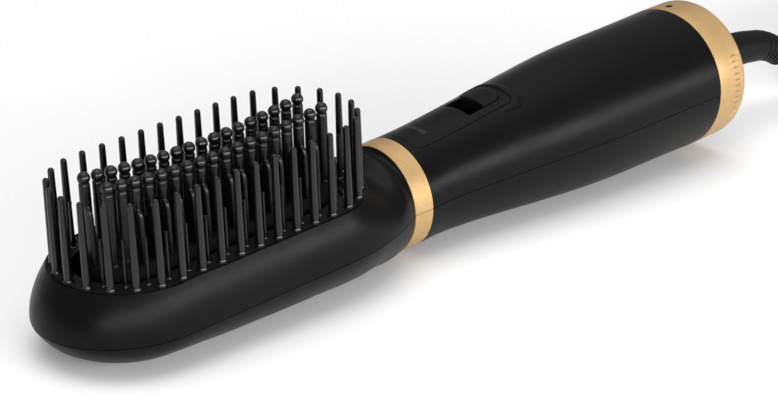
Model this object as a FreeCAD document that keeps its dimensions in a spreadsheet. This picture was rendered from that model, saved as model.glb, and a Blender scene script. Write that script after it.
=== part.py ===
import FreeCAD, Part
import math
import os
import Sketcher

# Hot-air hair straightening brush, lying on its back.
#
# All pieces of the brush are drawn in the brush's own axes: X along the handle
# from the head's tip to the rear, Z through the bristles, the handle's axis at
# y = z = 0.  The whole brush is then set down on the flat of its head and on
# the belly of its handle (a small tilt), with the origin under its middle.
# The cord behind the strain relief is drawn where it lies on that surface.

V = FreeCAD.Vector
doc = FreeCAD.newDocument("straightening_brush")

# ---------------------------------------------------------------- dimensions
sheet = doc.addObject("Spreadsheet::Sheet", "dims")
DIMS = [
    # lie of the brush on the surface
    ("tilt_deg", 3.62), ("org_x", 76.30), ("org_z", -12.90),
    # head: oblong with a rounded tip and a shoulder at the neck
    ("rim_half", 28.27), ("rim_rad", 22.4), ("rim_z", 13.2), ("head_half_w", 25.7),
    ("tip_len", 28.5), ("neck_x", 61.7), ("neck_head_r", 16.4), ("head_depth", 13.7),
    ("head_wall", 2.2), ("part_gap", 0.1), ("flat_z", -12.90),
    ("open_rad", 21.75), ("seat_z", 10.2), ("ledge_rad", 19.6), ("ledge_thk", 1.6),
    # bristle frame and middle plate
    ("frame_rad", 21.6), ("frame_half", 28.27), ("slot_half", 30.0), ("slot_rad", 14.4),
    ("bar_w", 2.4), ("bar_z", 12.0), ("plate_half", 30.3), ("plate_rad", 11.4), ("plate_top", 15.5),
    # bristles
    ("pin_ring_r", 20.0), ("pin_len", 24.5), ("pin_r_base", 1.22), ("pin_r_tip", 0.90), ("pin_foot_r", 1.58),
    ("short_ring_r", 17.3), ("short_shift", 0.14), ("short_len", 13.5), ("short_r_base", 0.62), ("short_r_tip", 0.45), ("short_foot_r", 0.90),
    ("ball_row_y", 5.0), ("ball_pitch", 4.38), ("ball_r", 1.76), ("ball_shaft_r", 1.62), ("ball_shaft_top", 1.55), ("ball_neck_r", 1.34), ("ball_mid_z", 35.1), ("ball_end_z", 37.6),
    ("fin_in", 6.5), ("fin_out", 10.6), ("fin_thk", 1.4), ("fin_top", 30.9), ("end_fin_x", 40.3), ("end_fin_top", 32.1),
    # gold neck ring and inner sleeve
    ("ring_x0", 61.8), ("ring_x1", 68.7), ("ring_r0", 16.64), ("ring_r1", 16.92), ("ring_bore", 14.05), ("ring_sweep", 179.4),
    ("sleeve_x0", 57.2), ("sleeve_x1", 77.5), ("sleeve_r", 13.95), ("sleeve_in", 12.4), ("web_r", 9.65),
    # heater
    ("shield_r", 9.6), ("shield_in", 9.2), ("heat_x0", 31.0), ("heat_x1", 72.0), ("board_half", 8.2), ("mica_thk", 0.8),
    ("coil_r", 8.65), ("coil_wire", 0.3), ("coil_pitch", 3.2),
    ("fuse_r", 1.6), ("fuse_len", 10.0), ("stat_len", 10.0), ("stat_w", 5.0), ("stat_h", 3.0),
    # handle
    ("handle_x0", 68.85), ("handle_x1", 194.6), ("handle_wall", 2.4),
    # switch panel, slider and switch
    ("panel_x0", 71.4), ("panel_x1", 112.5), ("panel_half", 7.7), ("panel_thk", 1.3), ("panel_gap", 0.25),
    ("tray_x0", 94.3), ("tray_x1", 112.0), ("tray_half", 6.4), ("tray_z", 14.0),
    ("rec_x0", 95.7), ("rec_x1", 110.5), ("rec_half", 5.35), ("rec_z", 15.7),
    ("stemslot_x0", 96.5), ("stemslot_x1", 108.8), ("stemslot_half", 1.75),
    ("slider_x0", 102.0), ("slider_x1", 110.1), ("slider_half", 5.1), ("slider_z", 16.0), ("slider_proud", 0.8),
    ("lens_x", 78.75), ("lens_w", 1.9), ("lens_half", 4.0),
    ("pcb_x0", 76.0), ("pcb_len", 46.0), ("pcb_half", 6.5), ("pcb_z", 7.9), ("pcb_thk", 1.2),
    ("sw_x0", 93.8), ("sw_len", 16.0), ("sw_half", 4.5), ("sw_h", 2.5),
    ("lever_x0", 104.55), ("lever_len", 2.1), ("lever_half", 1.0), ("lever_z0", 10.4), ("lever_h", 3.8),
    ("led_r", 1.5), ("led_h", 3.0),
    # blower
    ("motor_x0", 139.0), ("motor_x1", 167.0), ("motor_r", 12.0), ("hub_r", 4.0), ("bearing_r", 1.55),
    ("shaft_r", 1.5), ("shaft_x0", 137.0), ("shaft_len", 46.0),
    ("fan_x0", 172.0), ("fan_x1", 182.5), ("fan_r", 16.8), ("fan_hub_r", 5.5), ("fan_bore", 1.52), ("fan_back", 1.2), ("blade_thk", 1.1),
    ("blade_count", 9), ("shroud_in", 17.4), ("shroud_r", 18.4), ("shroud_x0", 170.5), ("shroud_x1", 184.6),
    ("cup_in", 12.1), ("cup_r", 13.2), ("cup_x0", 150.0), ("cup_x1", 168.5), ("flange_r", 20.4), ("flange_x0", 176.0), ("flange_thk", 2.0),
    # filter cap at the rear
    ("cap_x0", 194.85), ("cap_x1", 208.3), ("cap_r", 23.5), ("cap_bore", 21.5), ("spigot_x0", 188.0), ("spigot_r", 20.7), ("spigot_in", 19.7),
    ("lug_r", 21.8), ("lug_x0", 189.0), ("lug_len", 2.0), ("lug_deg", 14.0), ("lock_deg", 20.0),
    ("dot_r", 1.0), ("dot_x", 199.2), ("mark_deg", 6.35),
    ("grille_r", 21.45), ("grille_x0", 205.6), ("grille_thk", 2.0), ("grille_hole", 7.0), ("grille_slots", 24), ("grille_slot_w", 2.0),
    ("mesh_r", 21.4), ("mesh_x0", 197.7), ("mesh_thk", 0.6), ("mesh_hole", 7.3),
    # cord anchor, strain relief, wires
    ("anchor_x0", 184.7), ("anchor_thk", 2.5), ("anchor_r", 20.3), ("anchor_in", 17.2), ("anchor_hub_r", 7.5), ("anchor_hub_x1", 192.0), ("spoke_w", 3.0),
    ("boot_x0", 192.1), ("boot_z", -0.2), ("boot_bend_x", 226.0), ("boot_bend_r", 85.0), ("boot_bend_deg", 12.0), ("boot_end_r", 35.0), ("boot_end_deg", 26.0), ("boot_r0", 6.5), ("boot_r1", 6.0), ("boot_r2", 4.7),
    ("wire_r", 0.9), ("wire_y", 1.6),
    # screws
    ("hs_x", 128.0), ("hs_y", 7.0), ("scr_r", 1.2), ("scr_head_r", 2.3), ("scr_head_h", 2.0),
    ("ds_xa", -20.0), ("ds_xb", 22.0), ("ds_y", 16.2),
    # cord
    ("cord_r", 3.0), ("hank_x0", 242.0), ("hank_run", 124.0), ("hank_ri", 14.9), ("hank_ro", 27.2), ("hank_z0", 0.65), ("hank_h", 18.3), ("hank_turn_r", 24.1), ("layer", 6.1),
    ("tie_w", 9.0), ("tie_thk", 0.6), ("tie_x", 304.0), ("plug_x", 408.0), ("plug_y", -9.8),
    ("plug_w", 34.0), ("plug_h", 20.0), ("plug_len", 26.0), ("plug_tail", 20.0), ("plug_pin_r", 2.4), ("plug_pin_len", 19.0), ("plug_pin_gap", 19.0),
]
# outline of the handle: distance along the axis, radius, and how much taller than round the upper half is
PROFILE = [(68.75, 16.80, 0.02), (74.0, 16.62, 0.45), (80.0, 16.57, 0.85), (88.0, 16.97, 1.08), (97.0, 17.68, 1.15), (105.0, 18.42, 1.12),
           (113.0, 19.25, 0.97), (121.0, 20.05, 0.82), (130.0, 20.87, 0.75), (139.0, 21.65, 0.71), (148.0, 22.25, 0.64), (158.0, 22.62, 0.52),
           (168.0, 22.82, 0.40), (177.0, 23.00, 0.28), (188.0, 23.32, 0.08), (194.6, 23.50, 0.02)]
for i, (px, pr, pt) in enumerate(PROFILE):
    DIMS.append(("prof_x_%c" % (97 + i), px))
    DIMS.append(("prof_r_%c" % (97 + i), pr))
    DIMS.append(("prof_t_%c" % (97 + i), pt))
for i, (alias, value) in enumerate(DIMS):
    sheet.set("A%d" % (i + 1), alias)
    sheet.set("B%d" % (i + 1), repr(value))
    sheet.setAlias("B%d" % (i + 1), alias)
doc.recompute()


class Q:
    """A dimension with its value and the formula that reads it from the sheet."""
    def __init__(self, v, e):
        self.v = v
        self.e = e

    def _o(self, o):
        return o if isinstance(o, Q) else Q(float(o), repr(float(o)))

    def __add__(self, o):
        o = self._o(o); return Q(self.v + o.v, "(%s + %s)" % (self.e, o.e))

    def __radd__(self, o):
        return self._o(o) + self

    def __sub__(self, o):
        o = self._o(o); return Q(self.v - o.v, "(%s - %s)" % (self.e, o.e))

    def __rsub__(self, o):
        return self._o(o) - self

    def __mul__(self, o):
        o = self._o(o); return Q(self.v * o.v, "(%s * %s)" % (self.e, o.e))

    __rmul__ = __mul__

    def __neg__(self):
        return Q(-self.v, "(-1 * %s)" % self.e)


def D(alias):
    return Q(float(sheet.get(alias)), "dims." + alias)


def n(alias):
    return float(sheet.get(alias))


NODES = []          # finished sub-parts: (object, placed with the brush)


def node(obj, label, with_brush=True):
    obj.Label = label
    NODES.append((obj, with_brush))
    return obj


def feature(label, shape, with_brush=True):
    o = doc.addObject("Part::Feature", label)
    o.Shape = shape
    return node(o, label, with_brush)


def plane(body, role):
    for f in body.Origin.OriginFeatures:
        if f.Role == role:
            return f


def sketch(body, name, role, verts):
    """Closed outline of straight edges; every corner is dimensioned from the origin."""
    sk = body.newObject("Sketcher::SketchObject", name)
    sk.AttachmentSupport = [(plane(body, role), "")]
    sk.MapMode = "FlatFace"
    m = len(verts)
    for i in range(m):
        a, b = verts[i], verts[(i + 1) % m]
        sk.addGeometry(Part.LineSegment(V(a[0].v, a[1].v, 0), V(b[0].v, b[1].v, 0)), False)
    for i in range(m):
        sk.addConstraint(Sketcher.Constraint("Coincident", i, 2, (i + 1) % m, 1))
    for i in range(m):
        for kind, q in (("DistanceX", verts[i][0]), ("DistanceY", verts[i][1])):
            k = sk.addConstraint(Sketcher.Constraint(kind, -1, 1, i, 1, q.v))
            sk.setExpression("Constraints[%d]" % k, q.e)
    return sk


def revolved(label, verts, sweep=None, role="XZ_Plane"):
    """A turned piece: outline in the XZ plane, turned about the X axis."""
    body = doc.addObject("PartDesign::Body", label)
    sk = sketch(body, label + "_outline", role, verts)
    rev = body.newObject("PartDesign::Revolution", label + "_turn")
    rev.Profile = sk
    rev.ReferenceAxis = (sk, ["H_Axis"])
    if sweep is None:
        rev.Angle = 360.0
    else:
        rev.Angle = sweep.v
        rev.setExpression("Angle", sweep.e)
        rev.Midplane = True
    sk.Visibility = False
    body.Tip = rev
    doc.recompute()
    return body


def box(name, x0, x1, y0, y1, z0, z1, own_place=False):
    """Block between two corners; `own_place` leaves its place free to be set down with the brush."""
    b = doc.addObject("Part::Box", name)
    for prop, q in (("Length", x1 - x0), ("Width", y1 - y0), ("Height", z1 - z0)):
        b.setExpression(prop, q.e)
    b.Placement = FreeCAD.Placement(V(x0.v, y0.v, z0.v), FreeCAD.Rotation())
    if not own_place:
        for prop, q in (("x", x0), ("y", y0), ("z", z0)):
            b.setExpression("Placement.Base." + prop, q.e)
    return b


# local Z to the handle's X, so that angles run from +Y towards +Z
TO_X = FreeCAD.Rotation(V(1, 1, 1), 120)


def xcyl(r, x0, x1, ang=360.0, start=0.0):
    """Round bar along the handle, or a sector of it from `start` degrees."""
    c = Part.makeCylinder(r, x1 - x0, V(0, 0, 0), V(0, 0, 1), ang)
    c.Placement = FreeCAD.Placement(V(x0, 0, 0), TO_X)
    if start:
        c.rotate(V(0, 0, 0), V(1, 0, 0), start)
    return c


def xbar(name, radius, x0, length):
    c = doc.addObject("Part::Cylinder", name)
    c.setExpression("Radius", radius.e)
    c.setExpression("Height", length.e)
    c.Placement = FreeCAD.Placement(V(x0.v, 0, 0), TO_X)
    return c


def pbox(x0, x1, y0, y1, z0, z1):
    return Part.makeBox(x1 - x0, y1 - y0, z1 - z0, V(x0, y0, z0))


def stadium(half, rad, z0, z1):
    """Upright prism with an oblong outline."""
    a, b, c, d = V(-half, -rad, z0), V(half, -rad, z0), V(half, rad, z0), V(-half, rad, z0)
    w = Part.Wire([Part.LineSegment(a, b).toShape(), Part.Arc(b, V(half + rad, 0, z0), c).toShape(),
                   Part.LineSegment(c, d).toShape(), Part.Arc(d, V(-half - rad, 0, z0), a).toShape()])
    return Part.Face(w).extrude(V(0, 0, z1 - z0))


def round_box(x0, x1, half, z0, z1, rf, rr):
    """Upright prism, rectangle in plan with front corners rf and rear corners rr."""
    k = math.sqrt(0.5)
    e = []
    def ln(p, q):
        if (q - p).Length > 1e-6:
            e.append(Part.LineSegment(p, q).toShape())
    p1, p2 = V(x0 + rf, -half, z0), V(x1 - rr, -half, z0)
    p3, p4 = V(x1, -half + rr, z0), V(x1, half - rr, z0)
    p5, p6 = V(x1 - rr, half, z0), V(x0 + rf, half, z0)
    p7, p8 = V(x0, half - rf, z0), V(x0, -half + rf, z0)
    ln(p1, p2)
    e.append(Part.Arc(p2, V(x1 - rr + rr * k, -half + rr - rr * k, z0), p3).toShape())
    ln(p3, p4)
    e.append(Part.Arc(p4, V(x1 - rr + rr * k, half - rr + rr * k, z0), p5).toShape())
    ln(p5, p6)
    e.append(Part.Arc(p6, V(x0 + rf - rf * k, half - rf + rf * k, z0), p7).toShape())
    ln(p7, p8)
    e.append(Part.Arc(p8, V(x0 + rf - rf * k, -half + rf - rf * k, z0), p1).toShape())
    return Part.Face(Part.Wire(e)).extrude(V(0, 0, z1 - z0))


def turned(pts):
    """Upright turned piece from (radius, height) points, closed on its axis."""
    p = [V(r, 0, z) for r, z in pts]
    w = Part.makePolygon(p + [p[0]])
    return Part.Face(w).revolve(V(0, 0, 0), V(0, 0, 1), 360)


# ---------------------------------------------------------------------- head
S, RT, HT = n("rim_half"), n("rim_rad"), n("rim_z")
W0, LT, NX = n("head_half_w"), n("tip_len"), n("neck_x")
NR = n("neck_head_r")


def k_tip(x):
    return math.sqrt(max(0.0, 1 - ((x + S) / LT) ** 2)) if x < -S else 1.0


def half_width(x):
    """Half width of the head at its parting plane."""
    if x < -S:
        return W0 * k_tip(x)
    if x > 26.0:
        return W0 - (W0 - NR) * ((x - 26.0) / (NX - 26.0)) ** 2.3
    return W0


def crown(x):
    """Height of the section above the parting plane, so that it meets the rim."""
    if x < -(S + RT):
        return HT / math.sqrt(1 - (RT / LT) ** 2) * k_tip(x)
    if x > S + RT:
        return HT + (NR - HT) * ((x - S - RT) / (NX - S - RT)) ** 1.2
    a = abs(x) - S
    yr = RT if a <= 0 else math.sqrt(max(0.0, RT * RT - a * a))
    return HT / math.sqrt(1 - (yr / half_width(x)) ** 2)


DEPTHS = [(-S, n("head_depth")), (-5.0, 16.0), (20.0, 16.9), (40.0, 17.8), (50.0, 17.3), (57.0, 16.8), (NX, NR + 0.1)]


def depth(x):
    """Depth of the section below the parting plane, before the flat is cut."""
    if x < -S:
        return n("head_depth") * k_tip(x) ** 1.38
    for (a, p), (b, q) in zip(DEPTHS, DEPTHS[1:]):
        if x <= b + 1e-9:
            t = (x - a) / (b - a)
            return p + (q - p) * t * t * (3 - 2 * t)
    return NR


def low_power(x):
    """Fullness of the lower section: round where it meets the neck ring."""
    t = max(0.0, min(1.0, (x - 44.0) / 15.0))
    return 1.6 + 0.4 * t * t * (3 - 2 * t)


def section(x, w, h, power, sign, m=12):
    """Half section of the head at x: a superellipse closed by the parting line."""
    pts = []
    for i in range(m + 1):
        f = math.pi * i / m
        c, s = math.cos(f), math.sin(f)
        pts.append(V(x, w * math.copysign(abs(c) ** (2 / power), c), sign * h * abs(s) ** (2 / power)))
    pts[0], pts[-1] = V(x, w, 0), V(x, -w, 0)
    c = Part.BSplineCurve()
    c.interpolate(pts)
    return Part.Wire([c.toShape(), Part.LineSegment(pts[-1], pts[0]).toShape()])


STATIONS = [-S - LT * math.sin(math.radians(a)) for a in (87.5, 84, 79, 72, 63, 52, 40, 26, 13)] + \
           [-S, -15, 0, 14, 26, 31, 36, 41, 45, 48.5, 51.5, 55, 58.5, NX]
HW = n("head_wall")
INNER = [-S - (LT - HW) * math.sin(math.radians(a)) for a in (86, 80, 72, 62, 50, 36, 20)] + \
        [-S, -15, 0, 14, 26, 31, 36, 41, 45, 48.5, 51.5, 55, 58.5, NX + 0.5]


def inner_w(x):
    if x >= -S:
        return half_width(min(x, NX)) - HW
    return (W0 - HW) * math.sqrt(max(0.0, 1 - ((x + S) / (LT - HW)) ** 2))


def inner_h(x):
    if x >= -S:
        return crown(min(x, NX)) - HW
    return (crown(-S) - HW) * math.sqrt(max(0.0, 1 - ((x + S) / (LT - HW)) ** 2)) * (0.78 + 0.22 * math.sqrt(max(0.0, 1 - ((x + S) / (LT - HW)) ** 2)))


def inner_d(x):
    if x >= -S:
        return depth(min(x, NX)) - HW
    return (n("head_depth") - HW) * math.sqrt(max(0.0, 1 - ((x + S) / (LT - HW)) ** 2)) ** 1.38


head_top = Part.makeLoft([section(x, half_width(x), crown(x), 2.0, 1) for x in STATIONS], True, False)
head_low = Part.makeLoft([section(x, half_width(x), depth(x), low_power(x), -1) for x in STATIONS], True, False)
room_top = Part.makeLoft([section(x, inner_w(x), inner_h(x), 2.0, 1) for x in INNER], True, False)
room_low = Part.makeLoft([section(x, inner_w(x), inner_d(x), 1.6, -1) for x in INNER], True, False)

TILT = math.radians(n("tilt_deg"))
FLAT = n("flat_z")              # height of the rest plane at x = 0 measured square to it


def under_flat(lift):
    """Everything below the surface that the brush lies on, raised by `lift`."""
    b = Part.makeBox(600, 200, 100, V(-300, -100, -100 + FLAT + lift))
    b.rotate(V(0, 0, 0), V(0, 1, 0), n("tilt_deg"))
    return b


GAP = n("part_gap")
neck_bore = xcyl(n("ring_bore"), 57.0, NX + 1)

opening = stadium(S, n("open_rad"), n("seat_z"), 60)
ledge = stadium(S, n("open_rad") + 0.6, n("seat_z") - n("ledge_thk"), n("seat_z")).cut(
    stadium(S, n("ledge_rad"), 0, 40)).common(head_top).cut(xcyl(n("shield_r") + 0.4, 25, 60))
flush = stadium(S, RT - 0.05, HT, 60)      # the edge of the opening is level with the frame
upper = head_top.cut(room_top).cut(opening).cut(flush).fuse(ledge).cut(neck_bore)
upper = upper.cut(pbox(-80, 70, -40, 40, -1, GAP))
if upper.ShapeType == "Compound" and len(upper.Solids) == 1:
    upper = upper.Solids[0]
upper = upper.removeSplitter()
feature("head_upper_shell", upper)

# screw towers of the head: the lower half is screwed up into the bristle frame
DSX, DSY = (n("ds_xa"), n("ds_xb")), n("ds_y")
low = head_low.cut(room_low.cut(under_flat(HW)))
for sx in DSX:
    for sy in (-DSY, DSY):
        tower = Part.makeCylinder(3.3, 20, V(sx, sy, -20.3)).common(head_low)
        low = low.fuse(tower)
for sx in DSX:
    for sy in (-DSY, DSY):
        low = low.cut(Part.makeCylinder(1.35, 30, V(sx, sy, -25)))
        low = low.cut(Part.makeCylinder(2.6, 20, V(sx, sy, -26)))
low = low.cut(neck_bore).cut(under_flat(0.0)).cut(pbox(-80, 70, -40, 40, -GAP, 1))
if low.ShapeType == "Compound" and len(low.Solids) == 1:
    low = low.Solids[0]
low = low.removeSplitter()
feature("head_lower_shell", low)

# bristle frame: oblong ring with cross bars under the middle plate and four screw bosses
SEAT = n("seat_z") + 0.05
FR = n("frame_rad")
frame = stadium(S, FR, SEAT, HT - 0.35).fuse(stadium(S, FR - 0.35, HT - 0.4, HT))
frame = frame.cut(stadium(n("slot_half"), n("slot_rad"), 0, 40))
for bx in (-32.0, -16.0, 0.0, 16.0, 32.0):
    frame = frame.fuse(pbox(bx - n("bar_w") / 2, bx + n("bar_w") / 2, -n("slot_rad") - 1, n("slot_rad") + 1, SEAT, n("bar_z")))
for sx in DSX:
    for sy in (-DSY, DSY):
        frame = frame.fuse(Part.makeCylinder(2.1, SEAT + 0.5 - 0.3, V(sx, sy, 0.3)))


def oblong_points(half, rad, count, phase):
    """Evenly spaced places on an oblong line, from the middle of its front end."""
    per = 4 * half + 2 * math.pi * rad
    out = []
    for i in range(count):
        s = (i + phase) * per / count
        q = math.pi * rad / 2
        if s < q:
            a = s / rad
            out.append((-half - rad * math.cos(a), -rad * math.sin(a)))
        elif s < q + 2 * half:
            out.append((-half + (s - q), -rad))
        elif s < q + 2 * half + math.pi * rad:
            a = (s - q - 2 * half) / rad
            out.append((half + rad * math.sin(a), -rad * math.cos(a)))
        elif s < 3 * q + 4 * half:
            out.append((half - (s - 3 * q - 2 * half), rad))
        else:
            a = (s - 3 * q - 4 * half) / rad
            out.append((-half - rad * math.sin(a), rad * math.cos(a)))
    return out


LONG = oblong_points(S, n("pin_ring_r"), 36, 0.0)
SHORT = []
for i in range(18):
    # between two long pins, further in, and along the sides a little nearer to the rear one
    f = (i + 0.5) / 18
    x, y = oblong_points(S, n("pin_ring_r"), 36, i + 0.5 + n("short_shift") * min(1.0, f / 0.26, (1 - f) / 0.26))[0]
    cx = max(-S, min(S, x))
    k = n("short_ring_r") / n("pin_ring_r")
    SHORT += [(cx + (x - cx) * k, y * k), (cx + (x - cx) * k, -y * k)]
frame = frame.cut(Part.makeCompound([Part.makeCylinder(0.75, 2.3, V(x, y, HT - 2.2)) for x, y in LONG]))
frame = frame.cut(Part.makeCompound([Part.makeCylinder(0.50, 2.3, V(x, y, HT - 2.2)) for x, y in SHORT]))
for sx in DSX:
    for sy in (-DSY, DSY):
        frame = frame.cut(Part.makeCylinder(1.25, 6.0, V(sx, sy, 0.0)))
if frame.ShapeType == "Compound" and len(frame.Solids) == 1:
    frame = frame.Solids[0]
feature("bristle_frame", frame.removeSplitter())


def tip_arc(r, z, m=5):
    """Rounded end of a pin: quarter circle from radius r up to the axis."""
    return [(r * math.cos(a), z + r * math.sin(a)) for a in [math.pi / 2 * i / m for i in range(1, m)]] + [(0.0, z + r)]


rb, rt, rf, ln_ = n("pin_r_base"), n("pin_r_tip"), n("pin_foot_r"), n("pin_len")
long_pin = turned([(0, -2.1), (0.7, -2.1), (0.7, 0), (rf, 0), (rf, 0.22), (rf - 0.14, 0.38), (rb + 0.12, 0.55), (rb, 0.9), (rt, ln_ - rt)] + tip_arc(rt, ln_ - rt))
sb, st, sf, sl = n("short_r_base"), n("short_r_tip"), n("short_foot_r"), n("short_len")
short_pin = turned([(0, -2.1), (0.45, -2.1), (0.45, 0), (sf, 0), (sf, 0.15), (sf - 0.1, 0.26), (sb + 0.06, 0.38), (sb, 0.7), (st, sl - 0.9), (st + 0.12, sl - 0.55), (st + 0.12, sl - 0.3), (st - 0.08, sl - 0.05), (0, sl)])


def copies(shape, places):
    out = []
    for x, y, z in places:
        c = shape.copy()
        c.Placement = FreeCAD.Placement(V(x, y, z), FreeCAD.Rotation())
        out.append(c)
    return Part.makeCompound(out)


feature("long_bristles", copies(long_pin, [(x, y, HT) for x, y in LONG]))
feature("short_bristles", copies(short_pin, [(x, y, HT) for x, y in SHORT]))

# middle plate with the ball-tipped pins in two rows and the fins beside them
PT = n("plate_top")
BP = n("ball_pitch")
BALLS = [((i - 8.5) * BP, sy * n("ball_row_y")) for sy in (-1, 1) for i in range(18)]
FINS = [(k * BP, sy) for sy in (-1, 1) for k in range(-7, 8)]
plate = stadium(n("plate_half"), n("plate_rad"), n("bar_z") + 0.02, PT - 0.4).fuse(stadium(n("plate_half"), n("plate_rad") - 0.4, PT - 0.5, PT))
plate = plate.cut(Part.makeCompound([Part.makeCylinder(0.85, 2.6, V(x, y, PT - 2.5)) for x, y in BALLS]))
fo, fi, ft = n("fin_out"), n("fin_in"), n("fin_thk")
plate = plate.cut(Part.makeCompound(
    [pbox(x - 0.45, x + 0.45, min(sy * (fi + 0.8), sy * (fo - 0.8)), max(sy * (fi + 0.8), sy * (fo - 0.8)), PT - 2.0, PT + 0.2) for x, sy in FINS]
    + [pbox(sx * n("end_fin_x") - 0.45, sx * n("end_fin_x") + 0.45, -1.25, 1.25, PT - 2.0, PT + 0.2) for sx in (-1, 1)]))
# row of small air holes along the middle
plate = plate.cut(Part.makeCompound([stadium(1.1, 0.7, 0, 30).translated(V((i - 6) * 5.6, 0, 0)) for i in range(13)]))
if plate.ShapeType == "Compound" and len(plate.Solids) == 1:
    plate = plate.Solids[0]
feature("center_plate", plate.removeSplitter())


def ball_pin(zc):
    """Stout pin with a collar at its foot, a grooved neck and a ball on top (zc: ball centre)."""
    r, q, t, k = n("ball_r"), n("ball_shaft_r"), n("ball_shaft_top"), n("ball_neck_r")
    a0 = -math.acos(k / r)
    arc = [(r * math.cos(a), zc + r * math.sin(a)) for a in [a0 + (math.pi / 2 - a0) * i / 10 for i in range(10)]] + [(0, zc + r)]
    return turned([(0, PT - 2.4), (0.8, PT - 2.4), (0.8, PT), (q + 0.2, PT), (q + 0.2, PT + 0.3), (q + 0.08, PT + 0.5), (q, PT + 0.9),
                   (t, zc - 2.95), (t - 0.09, zc - 2.85), (t - 0.09, zc - 2.65), (t, zc - 2.55),
                   (t, zc - 1.80), (t - 0.06, zc - 1.62), (k, zc - 1.48)] + arc)


def ball_height(x):
    return n("ball_mid_z") + (n("ball_end_z") - n("ball_mid_z")) * (x / (8.5 * BP)) ** 2


feature("ball_bristles", Part.makeCompound([ball_pin(ball_height(x)).translated(V(x, y, 0)) for x, y in BALLS]))


def fin(x, yc, half, top, along):
    """Tongue with a rounded top; `along` is the direction of its breadth."""
    z0 = PT
    sh, tall = half * 0.88, half * 1.75
    arch = Part.ArcOfEllipse(Part.Ellipse(V(0, 0, top), V(0, sh, top - tall), V(0, 0, top - tall)), -math.pi / 2, math.pi / 2).toShape()
    ends = [v.Point for v in arch.Vertexes]
    ends.sort(key=lambda p: p.y)
    w = Part.Wire(Part.__sortEdges__([Part.LineSegment(V(0, -half, z0), V(0, half, z0)).toShape(), Part.LineSegment(V(0, half, z0), ends[1]).toShape(),
                                      arch, Part.LineSegment(ends[0], V(0, -half, z0)).toShape()]))
    b = Part.Face(w).extrude(V(ft, 0, 0)).translated(V(-ft / 2, 0, 0))
    edges = [e for e in b.Edges if abs(e.BoundBox.XLength) < 1e-6 and e.BoundBox.ZMax > z0 + 1]
    b = b.makeFillet(0.6, edges)
    peg = pbox(-0.4, 0.4, -(half - 0.85), half - 0.85, z0 - 1.9, z0)
    return b.fuse(peg).removeSplitter().translated(V(x, yc, 0))


FH = (fo - fi) / 2
feature("comb_fins", Part.makeCompound([fin(x, sy * (fi + FH), FH, n("fin_top"), 0) for x, sy in FINS]
                                       + [fin(sx * n("end_fin_x"), 0.0, 2.05, n("end_fin_top"), 0) for sx in (-1, 1)]))

# ---------------------------------------------------------- neck and heater
rx0, rx1 = D("ring_x0"), D("ring_x1")
ring_outline = [(rx0, D("ring_bore")), (rx0, D("ring_r0") - 0.14), (rx0 + 0.16, D("ring_r0")), (rx1 - 0.16, D("ring_r1")),
                (rx1, D("ring_r1") - 0.14), (rx1, D("ring_bore"))]
ring_u = node(revolved("neck_ring_upper", ring_outline, D("ring_sweep")), "neck_ring_upper")
ring_l = node(revolved("neck_ring_lower", ring_outline, D("ring_sweep")), "neck_ring_lower")
ring_l.Placement = FreeCAD.Placement(V(0, 0, 0), FreeCAD.Rotation(V(1, 0, 0), 180))

sx0, sx1 = D("sleeve_x0"), D("sleeve_x1")
node(revolved("neck_sleeve", [(sx0, D("sleeve_in")), (sx0, D("sleeve_r")), (sx1, D("sleeve_r")), (sx1, D("sleeve_in")),
                              (sx0 + 8.8, D("sleeve_in")), (sx0 + 8.8, D("web_r")), (sx0 + 5.8, D("web_r")), (sx0 + 5.8, D("sleeve_in"))]), "neck_sleeve")

hx0, hx1 = D("heat_x0"), D("heat_x1")
node(revolved("heater_shield", [(hx0, D("shield_in")), (hx0, D("shield_r")), (hx1, D("shield_r")), (hx1, D("shield_in"))]), "heater_shield")

bh, mt = D("board_half"), D("mica_thk")
mica_a = box("mica_upright", hx0 + 1, hx1 - 1, -0.5 * mt, 0.5 * mt, -bh, bh)
mica_b = box("mica_flat", hx0 + 1, hx1 - 1, -bh, bh, -0.5 * mt, 0.5 * mt)
mica = doc.addObject("Part::Fuse", "heater_frame")
mica.Base, mica.Tool = mica_a, mica_b
node(mica, "heater_frame")

helix = Part.makeHelix(n("coil_pitch"), n("heat_x1") - n("heat_x0") - 8, n("coil_r"))
wire_profile = Part.Wire(Part.Circle(V(n("coil_r"), 0, 0), V(0, 1, 0), n("coil_wire")).toShape())
coil = Part.Wire(helix.Edges).makePipeShell([wire_profile], True, True)
coil.Placement = FreeCAD.Placement(V(n("heat_x0") + 4, 0, 0), TO_X)
feature("heater_coil", coil)

fuse_ = xbar("thermal_fuse", D("fuse_r"), hx0 + 26, D("fuse_len"))
fuse_.Placement = FreeCAD.Placement(V(n("heat_x0") + 26, 3.6, 3.6), TO_X)
node(fuse_, "thermal_fuse")
stat = box("thermostat", hx0 + 24, hx0 + 24 + D("stat_len"), -1.0 - D("stat_w"), Q(-1.0, "-1.0"), 0.5 * mt + 0.02, 0.5 * mt + 0.02 + D("stat_h"), True)
node(stat, "thermostat")

# -------------------------------------------------------------------- handle
PTS = [(n("prof_x_%c" % (97 + i)), n("prof_r_%c" % (97 + i))) for i in range(len(PROFILE))]
outline_curve = Part.BSplineCurve()
outline_curve.interpolate([V(x, r, 0) for x, r in PTS])


def radius(x):
    """Radius of the handle's outline at x."""
    hit = outline_curve.intersect(Part.LineSegment(V(x, 1, 0), V(x, 60, 0)))
    return hit[0][0].Y if isinstance(hit, tuple) else hit[0].Y


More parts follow.
